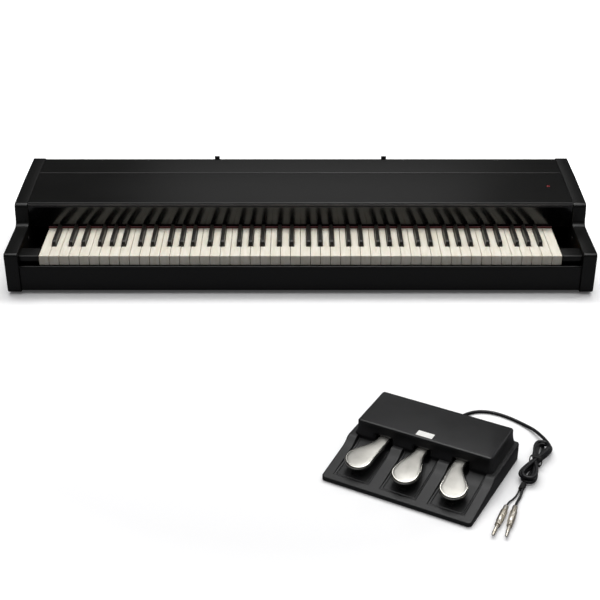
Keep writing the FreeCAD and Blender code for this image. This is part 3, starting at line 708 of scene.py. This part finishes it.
def blackKey(centre):
    # a rounded section carried back from the nose: its top climbs the sloped nose as a quarter ellipse, and its
    # sides lean in from the foot to the top
    rise = np.array([0, 0.02, 0.08, 0.2, 0.4, 0.62, 0.8, 0.92, 1.0])
    nose = keys["blackFront"] + keys["noseLean"] * rise
    nose = nose + keys["noseRun"] * (1 - np.sqrt(np.clip(1 - rise ** 2, 0, 1)))
    along = np.concatenate((nose, [keys["blackEnd"] - 1.0, keys["blackEnd"]]))
    rise = np.concatenate((rise, [1.0, 1.0]))
    top = keys["noseFoot"] + (keys["blackTop"] - keys["noseFoot"]) * rise
    top[-1] -= 0.8
    half = keys["blackWidth"] / 2
    lean = np.array([0, 0.0, 0.35, 0.7, 0.93, 1.0, 1.0])
    corner = np.array([0, 0, 0, 0.0, 0.35, 0.9, 1.7])
    levels = np.array([0, 0.05, 0.45, 0.8, 0.93, 0.985, 1.0])
    count = len(levels)
    reach = half - keys["sideLean"] * lean - corner
    rows = []
    for y, z in zip(along, top):
        height = keys["stick"] + (z - keys["stick"]) * levels
        rows.append(np.vstack((np.column_stack((centre - reach, np.full(count, y), height)),
                               np.column_stack((centre + reach[::-1], np.full(count, y), height[::-1])))))
    stick = slab([(centre - half, keys["blackEnd"], 0), (centre + half, keys["blackEnd"], 0),
                  (centre + half, keys["back"], 0), (centre - half, keys["back"], 0)],
                 keys["stick"], keys["top"], 0.0, "z", steps=1)
    return (np.vstack(rows), tubeFaces(len(rows), 2 * count)), stick


def keyBody(name, dark):
    octave = int(name[-1])
    if octave == 4:
        return "key_" + name
    return ("bass" if octave < 4 else "treble") + ("_black_keys" if dark else "_white_keys")


grouped = {}
for name, centre, dark in allKeys:
    grouped.setdefault(keyBody(name, dark), []).append((centre, dark))
for body, members in grouped.items():
    tops, sticks = zip(*[(blackKey(x) if dark else whiteKey(x)) for x, dark in members])
    dark = members[0][1]
    top, stick = joined(tops), joined(sticks)
    marks = [0] * len(top[1]) + [1] * len(stick[1])
    pianoPiece(body + "_tops", joined([top, stick]), [ebony if dark else ivory, spruce],
               "black_key_top" if dark else "white_key_top", [body], body, faceMaterial=marks, smooth=32)
print("keys built")


def unitPiece(name, surface, materials, slot, nodes=(), body="pedal_unit", **more):
    return addPiece(name, (inUnit(surface[0]), surface[1]), materials, body, slot, nodes, **more)


pedals = {"neckPitch": 78.0, "lobePitch": 95.0, "neckHalf": 13.0, "lobeHalf": 27.0, "tip": 20.0, "neckEnd": 136.0,
          "axleY": 205.0, "axleZ": 42.0, "easeMiddle": 80, "easeWidth": 64, "tipHeight": 37.3, "slope": 0.1646,
          "droop": 0.00078, "leverHalf": 7}
base = {
    "bayHalf": 36.0, "bayFront": 14.0, "bayBack": 122.0, "corner": 8.0, "rim": 2.4, "bottom": 2.0,
    "grooveOut": 4, "grooveIn": 5, "grooveBack": 135, "grooveDepth": 0.8,
    "slotHalf": 17.5, "slotFront": 110, "slotBack": 140, "slotFloor": 25.5,
    "wellHalf": 36, "wellFront": 130, "wellBack": 213, "wellFloor": 8,
    "trenchHalf": 118, "trenchFront": 212, "trenchBack": 234,
}


def step(value, edge, width):
    # smooth 0..1 rise across an edge
    f = np.clip((value - edge) / width + 0.5, 0, 1)
    return f * f * (3 - 2 * f)


def pocket(x, y, x0, x1, y0, y1, width=1.4):
    return step(x, x0, width) * (1 - step(x, x1, width)) * step(y, y0, width) * (1 - step(y, y1, width))


def baseHeight(x, y):
    # wedge with a concave foot up to a flat shelf; grooved bays, lever slots and wells and the trench behind them
    # are blended in by masks
    wedge = np.interp(y, [0, 60, 88, 95, 100, 105, 110, 114, 244], [10, 20.0, 24.8, 26.6, 29.0, 32.4, 35.6, 37, 37])
    floor = np.interp(y, [12, 95, 122], [11, 21, 29])
    z = wedge
    for i in (-1, 0, 1):
        bay, half, front = i * pedals["lobePitch"], base["bayHalf"], base["bayFront"]
        mask = pocket(x, y, bay - half, bay + half, front, base["bayBack"])
        z = z * (1 - mask) + floor * mask
        inner, outer = (pocket(x, y, bay - half + d, bay + half - d, front + d, base["grooveBack"], 1.0)
                        for d in (base["grooveIn"], base["grooveOut"]))
        z = z - base["grooveDepth"] * mask * np.clip(outer - inner, 0, 1)
        neck = i * pedals["neckPitch"]
        mask = pocket(x, y, neck - base["slotHalf"], neck + base["slotHalf"], base["slotFront"], base["slotBack"])
        z = z * (1 - mask) + np.minimum(z, base["slotFloor"]) * mask
        mask = pocket(x, y, neck - base["wellHalf"], neck + base["wellHalf"], base["wellFront"], base["wellBack"])
        z = z * (1 - mask) + base["wellFloor"] * mask
    mask = pocket(x, y, -base["trenchHalf"], base["trenchHalf"], base["trenchFront"], base["trenchBack"])
    return z * (1 - mask) + base["wellFloor"] * mask


def near(edges, offsets=(-0.9, -0.45, 0, 0.45, 0.9)):
    # grid lines close on both sides of each edge
    return [e + o for e in edges for o in offsets]


def baseSurface():
    # grid of (s, y): x runs between the sides, which pull in at the rounded corners, and the top drops off at the rim
    half, depth, corner, rim = unitSize["width"] / 2, unitSize["depth"], base["corner"], base["rim"]
    border = [0.0, 0.15, 0.4, 0.8, 1.4, 2.4]
    bays = [i * pedals["lobePitch"] + k * w for i in (-1, 0, 1) for k in (-1, 1) for w in
            (base["bayHalf"], base["bayHalf"] - base["grooveOut"], base["bayHalf"] - base["grooveIn"])]
    necks = [i * pedals["neckPitch"] + k * w for i in (-1, 0, 1) for k in (-1, 1) for w in
             (base["slotHalf"], base["wellHalf"])]
    ends = [-base["trenchHalf"], base["trenchHalf"]]
    xs = near(bays + necks + ends) + np.linspace(-half + 3, half - 3, 60).tolist()
    xs = np.unique(np.round(xs + [-half + b for b in border] + [half - b for b in border], 2))
    corners = [0.6, 1.2, 2.2, 3.2, 4.5, 6, 8]
    steps = [base[k] for k in ("bayFront", "slotFront", "bayBack", "wellFront", "trenchFront", "wellBack",
                               "trenchBack")]
    steps += [base["bayFront"] + base[k] for k in ("grooveOut", "grooveIn")]
    ys = near(steps) + np.linspace(9, depth - 9, 60).tolist()
    ys = np.unique(np.round(ys + border + corners + [depth - b for b in border + corners], 2))
    y, x = np.meshgrid(ys, xs[np.abs(xs) <= half], indexing="ij")
    away = np.minimum(y, depth - y)
    pull = np.where(away < corner, corner - np.sqrt(np.clip(corner ** 2 - (corner - away) ** 2, 0, None)), 0)
    wide = x / half * (half - pull)
    edge = np.minimum(np.minimum(half - pull - np.abs(wide), away), rim)
    drop = rim - np.sqrt(np.clip(rim ** 2 - (rim - edge) ** 2, 0, None))
    z = baseHeight(wide, y) - drop
    rows, cols = x.shape
    points = np.stack((wide, y, z), -1).reshape(-1, 3)
    index = np.arange(rows * cols).reshape(rows, cols)
    faces = np.stack((index[:-1, :-1], index[:-1, 1:], index[1:, 1:], index[1:, :-1]), -1).reshape(-1, 4).tolist()
    loop = np.concatenate((index[0, :-1], index[:-1, -1], index[-1, :0:-1], index[:0:-1, 0]))
    lower = points[loop].copy()
    lower[:, 2] = base["bottom"]
    first = len(points)
    ring = np.arange(len(loop))
    ahead = (ring + 1) % len(loop)
    faces += np.stack((loop[ahead], loop, first + ring, first + ahead), -1).tolist()
    faces.append((first + ring)[::-1].tolist())
    return np.vstack((points, lower)), faces


unitPiece("pedalBase", baseSurface(), [coarseAbs], "textured_black_abs", ["pedal_base"], smooth=50)

case = {"front": 124.0, "back": 240.0, "foot": 37.1, "top": 68.0, "insetTop": 13.0, "flare": 4.5, "flareTop": 61,
        "corner": 6.0, "rim": 4.4, "slotHalf": 17.0, "slotTop": 47.5, "wall": 2.6}


def caseSurface():
    # rings of a rounded rectangle: each ring's inset eases from the flared foot to the top and then follows the rim's
    # quarter circle; the quads inside a pedal slot are left out
    slots = [i * pedals["neckPitch"] + k * case["slotHalf"] for i in (-1, 0, 1) for k in (-1, 1)]
    half = unitSize["width"] / 2 - case["insetTop"]
    arc = np.linspace(0, math.pi / 2, 7)
    r = case["corner"]
    front = np.unique(np.concatenate((np.linspace(-half + r, half - r, 30), slots)))
    side = np.linspace(case["front"] + r, case["back"] - r, 16)
    bottom = [(x, case["front"]) for x in front]
    cornerA = [(half - r + r * math.sin(a), case["front"] + r - r * math.cos(a)) for a in arc[1:-1]]
    right = [(half, y) for y in side]
    cornerB = [(half - r + r * math.cos(a), case["back"] - r + r * math.sin(a)) for a in arc[1:-1]]
    loop = bottom + cornerA + right + cornerB
    loop += [(-x, case["back"]) for x in np.linspace(-half + r, half - r, 30)]
    loop += [(-x, y) for x, y in cornerB[::-1] + right[::-1] + cornerA[::-1]]
    loop = np.array(loop)
    heights = np.concatenate(([case["foot"], 38.2, 40, 42.5, 45, case["slotTop"], 52, 57, case["flareTop"]],
                              case["top"] - case["rim"] + case["rim"] * np.sin(arc)))
    fall = np.clip((case["flareTop"] - heights) / (case["flareTop"] - case["foot"]), 0, 1)
    depths = -case["flare"] * fall ** 2.0
    depths[-len(arc):] = case["rim"] * (1 - np.cos(arc))
    rings = [np.column_stack((insetLoop(loop, d), np.full(len(loop), z))) for d, z in zip(depths, heights)]
    points = np.vstack(rings)
    around = len(loop)
    k, j = np.meshgrid(np.arange(len(rings) - 1), np.arange(around), indexing="ij")
    middle = (loop[j] + loop[(j + 1) % around]) / 2
    inSlot = np.zeros(k.shape, bool)
    for i in (-1, 0, 1):
        beside = np.abs(middle[..., 0] - i * pedals["neckPitch"])
        inSlot |= (beside < case["slotHalf"]) & (middle[..., 1] < case["front"] + 1)
    inSlot &= heights[k] < case["slotTop"] - 0.1
    a, b = k * around + j, k * around + (j + 1) % around
    quads = np.stack((a, b, b + around, a + around), -1)[~inSlot].tolist()
    last = (len(rings) - 1) * around
    quads.append(list(range(last, last + around)))
    return points, quads


caseShell = unitPiece("pedalCase", caseSurface(), [absPlastic], "textured_black_abs", ["pedal_case"], smooth=45)
wall = caseShell.modifiers.new("wall", "SOLIDIFY")
wall.thickness = case["wall"] * mm
wall.offset = -1

unitPiece("blankLabel", slab([(-18.5, 130.5, 1), (14.5, 130.5, 1), (14.5, 146.5, 1), (-18.5, 146.5, 1)], 67.98, 68.2,
                             0.0, "z", steps=1, edgeHigh=0.08), [vinyl], "textured_black_abs")


def pedalEase(y):
    # 0 on the spoon, 1 on the neck
    return step(y, pedals["easeMiddle"], pedals["easeWidth"])


def pedalMiddle(i, y):
    ease = pedalEase(y)
    return i * (pedals["lobePitch"] * (1 - ease) + pedals["neckPitch"] * ease)


def pedalSurface(i):
    # plan outline: half width is a quarter ellipse at the tip that eases into the neck; the outline's rings shrink as
    # they roll over the rim, then draw in to the middle line as a shallow dome. Height follows a quadratic in y
    radius = pedals["lobeHalf"]
    y = np.concatenate((pedals["tip"] + radius * (1 - np.cos(np.linspace(0.03, math.pi / 2, 22))),
                        np.linspace(pedals["tip"] + radius + 3, pedals["neckEnd"], 30)))
    tip = np.sqrt(np.clip(1 - (1 - np.clip((y - pedals["tip"]) / radius, 0, 1)) ** 2, 0, 1))
    ease = pedalEase(y)
    half = (radius * (1 - ease) + pedals["neckHalf"] * ease) * tip
    middle = pedalMiddle(i, y)
    left = np.column_stack((middle - half, y))[::-1]
    right = np.column_stack((middle + half, y))
    loop = np.vstack((left, [[middle[0], pedals["tip"]]], right))
    rolls = [(3.0, 7.0), (0.9, 6.7), (0.1, 5.8), (0.0, 3.6), (0.25, 2.4), (0.9, 1.3), (2.0, 0.5), (3.4, 0.1),
             (3.9, 0.3), (4.4, 0.05)]
    rings = []
    for depth, drop in rolls:
        flat = insetLoop(loop, depth)
        rings.append((flat, np.full(len(loop), -drop)))
    rim = rings[-1][0]
    spineY = np.clip(rim[:, 1], pedals["tip"] + radius - 2, pedals["neckEnd"] - 8)
    spine = np.column_stack((pedalMiddle(i, spineY), spineY))
    for part, dome in ((0.2, 0.2), (0.45, 0.4), (0.7, 0.55), (0.97, 0.6)):
        rings.append((rim * (1 - part) + spine * part, np.full(len(loop), dome)))
    points = []
    for flat, offset in rings:
        u = flat[:, 1] - pedals["tip"]
        z = pedals["tipHeight"] + pedals["slope"] * u - pedals["droop"] * u ** 2 + offset
        points.append(np.column_stack((flat, z)))
    marks = np.repeat((np.arange(len(rings) - 1) < 8).astype(int), len(loop)).tolist() + [1, 0]
    return (np.vstack(points), tubeFaces(len(rings), len(loop))), marks


def pedalLever(i):
    # flat bar into the case with a round boss on the axle
    x, half = i * pedals["neckPitch"], pedals["leverHalf"]
    bar = slab([(127, 38.2, 1), (127, 45.8, 1), (213, 46, 3), (213, 38, 3)], x - half, x + half, 0.6)
    boss = turnedSolid([(0, 5.2), (0, 7.4), (0.6, 8), (13.4, 8), (14, 7.4), (14, 5.2)],
                       (x - half, pedals["axleY"], pedals["axleZ"]), (1, 0, 0), 32)
    return joined([bar, boss])


for name, i in (("soft", -1), ("middle", 0), ("damper", 1)):
    spoon, marks = pedalSurface(i)
    lever = pedalLever(i)
    body = name + "_pedal"
    unitPiece(name + "Pedal", joined([spoon, lever]), [nickel, brightNickel, zinc], "satin_nickel", [body], body,
              faceMaterial=marks + [2] * len(lever[1]), smooth=50)
stops = []
for i in (-1, 0, 1):
    x = i * pedals["lobePitch"]
    stops.append(slab([(x - 8, 30, 2), (x + 8, 30, 2), (x + 8, 50, 2), (x - 8, 50, 2)],
                      11.0, 15.4, 0.2, "z", edgeHigh=0.8))
    stops.append(slab([(x - 4, 38, 1.5), (x + 4, 38, 1.5), (x + 4, 46, 1.5), (x - 4, 46, 1.5)],
                      15.0, 19.8, 0.1, "z", edgeHigh=1.5))
unitPiece("stopPads", joined(stops), [rubber], "black_rubber", ["stop_pads"])
print("pedal unit built")

# studio: paper that looks white but throws back little, and a sky that is bright overhead
studio = {
    "paper": "fbfbfb", "bounce": "747476", "bounceFar": "e4e4e6", "lift": 0.05, "farLift": 0.9, "strength": 1.25,
    "sky": [(0.0, "202022"), (0.62, "5c5c60"), (0.9, "ffffff")],
    "mirrored": [(0.0, "121213"), (0.6, "242425"), (0.84, "29292a"), (0.9, "ffffff")], "gain": 2.2,
    "floorSize": 40.0, "behind": (0.45, 0.7), "wide": (1.3, 2.4), "fade": (0.7, 2.0),
}
floorSize = studio["floorSize"]
floorMesh = bpy.data.meshes.new("floor")
floorMesh.from_pydata([(-floorSize, -floorSize, 0), (floorSize, -floorSize, 0), (floorSize, floorSize, 0),
                       (-floorSize, floorSize, 0)], [], [(0, 1, 2, 3)])
paper, paperShader = newFinish("whitePaper", studio["paper"], 0.9, Specular_IOR_Level=0.0)
paperTree = paper.node_tree
direct = addNode(paperTree, "LightPath")
spot = addNode(paperTree, "TexCoord")
reach = addNode(paperTree, "VectorMath", {"operation": "LENGTH"}, Vector=spot.outputs["Object"])
along = addNode(paperTree, "SeparateXYZ", None, Vector=spot.outputs["Object"])
behind = addNode(paperTree, "MapRange", {"From Min": studio["behind"][0], "From Max": studio["behind"][1]},
                 Value=along.outputs["Y"])
wide = addNode(paperTree, "MapRange", {"From Min": studio["wide"][0], "From Max": studio["wide"][1]},
               Value=reach.outputs["Value"])
clear = addNode(paperTree, "Math", {"operation": "MAXIMUM"}, i0=behind.outputs[0], i1=wide.outputs[0])
# reflections of the paper are dim close in front of the piano and bright further out
bounce = addNode(paperTree, "MixRGB", {"Color1": linear(studio["bounce"]),
                                                 "Color2": linear(studio["bounceFar"])}, Fac=clear.outputs[0])
paperTree.links.new(
    addNode(paperTree, "MixRGB", {"Color2": linear(studio["paper"])}, Fac=direct.outputs["Is Camera Ray"],
            Color1=bounce.outputs[0]).outputs[0], paperShader.inputs["Base Color"])
paperShader.inputs["Emission Color"].default_value = (1, 1, 1, 1)
# the paper fades to clear white away from the piano
fade = addNode(paperTree, "MapRange", {"From Min": studio["fade"][0], "From Max": studio["fade"][1],
                                                 "To Min": studio["lift"], "To Max": studio["farLift"]},
               Value=reach.outputs["Value"])
paperTree.links.new(
    addNode(paperTree, "Math", {"operation": "MULTIPLY"}, i0=fade.outputs[0],
            i1=direct.outputs["Is Camera Ray"]).outputs[0], paperShader.inputs["Emission Strength"])
floorMesh.materials.append(paper)
floor = bpy.data.objects.new("floor", floorMesh)
scene.collection.objects.link(floor)

world = bpy.data.worlds.new("studio")
scene.world = world
world.use_nodes = True
sky = world.node_tree
backdrop = sky.nodes["Background"]
where = addNode(sky, "TexCoord")
split = addNode(sky, "SeparateXYZ", None, Vector=where.outputs["Generated"])
ray = addNode(sky, "LightPath")
# both skies are ramps by the sine of the elevation
mirrored = addNode(sky, "VectorMath", {"operation": "SCALE", "Scale": studio["gain"]},
                   i0=addRamp(sky, split.outputs["Z"], studio["mirrored"]))
around = addNode(sky, "MixRGB", None, Fac=ray.outputs["Is Glossy Ray"],
                 Color1=addRamp(sky, split.outputs["Z"], studio["sky"]), Color2=mirrored.outputs[0])
seen = addNode(sky, "MixRGB", {"Color2": (1, 1, 1, 1)}, Fac=ray.outputs["Is Camera Ray"],
               Color1=around.outputs[0])
sky.links.new(seen.outputs[0], backdrop.inputs["Color"])
backdrop.inputs["Strength"].default_value = studio["strength"]

# the overhead lamp lights matt surfaces only, so it leaves no streak on the gloss panels
lights = {
    "overhead": {"place": (0.0, 1.45, 2.6), "aim": (0, 0.9, 0), "size": (4.2, 1.0), "power": 56, "glossy": False},
    "lidGlow": {"place": (0.12, 4.0, 2.2), "aim": (0.05, 0.45, 0.16), "size": (2.4, 1.0), "power": 4.1},
    "pedalGlow": {"place": (0.4, 0.95, 2.4), "aim": (0.23, -0.48, 0), "size": (0.85, 0.85), "power": 9},
    "sideBox": {"place": (1.67, 0.6, 0.86), "aim": (0.23, -0.48, 0), "size": (0.4, 0.4), "power": 2.2},
}
for name, light in lights.items():
    data = bpy.data.lights.new(name, "AREA")
    data.shape = "RECTANGLE"
    data.size, data.size_y = light["size"]
    data.energy = light["power"]
    lamp = bpy.data.objects.new(name, data)
    lamp.location = light["place"]
    direction = np.array(light["aim"]) - np.array(light["place"])
    flat = math.hypot(direction[0], direction[1])
    lamp.rotation_euler = (math.atan2(flat, -direction[2]), 0, math.atan2(direction[1], direction[0]) - math.pi / 2)
    lamp.visible_camera = False
    lamp.visible_glossy = light.get("glossy", True)
    scene.collection.objects.link(lamp)
scene.view_settings.view_transform = "Standard"
print("lights set")
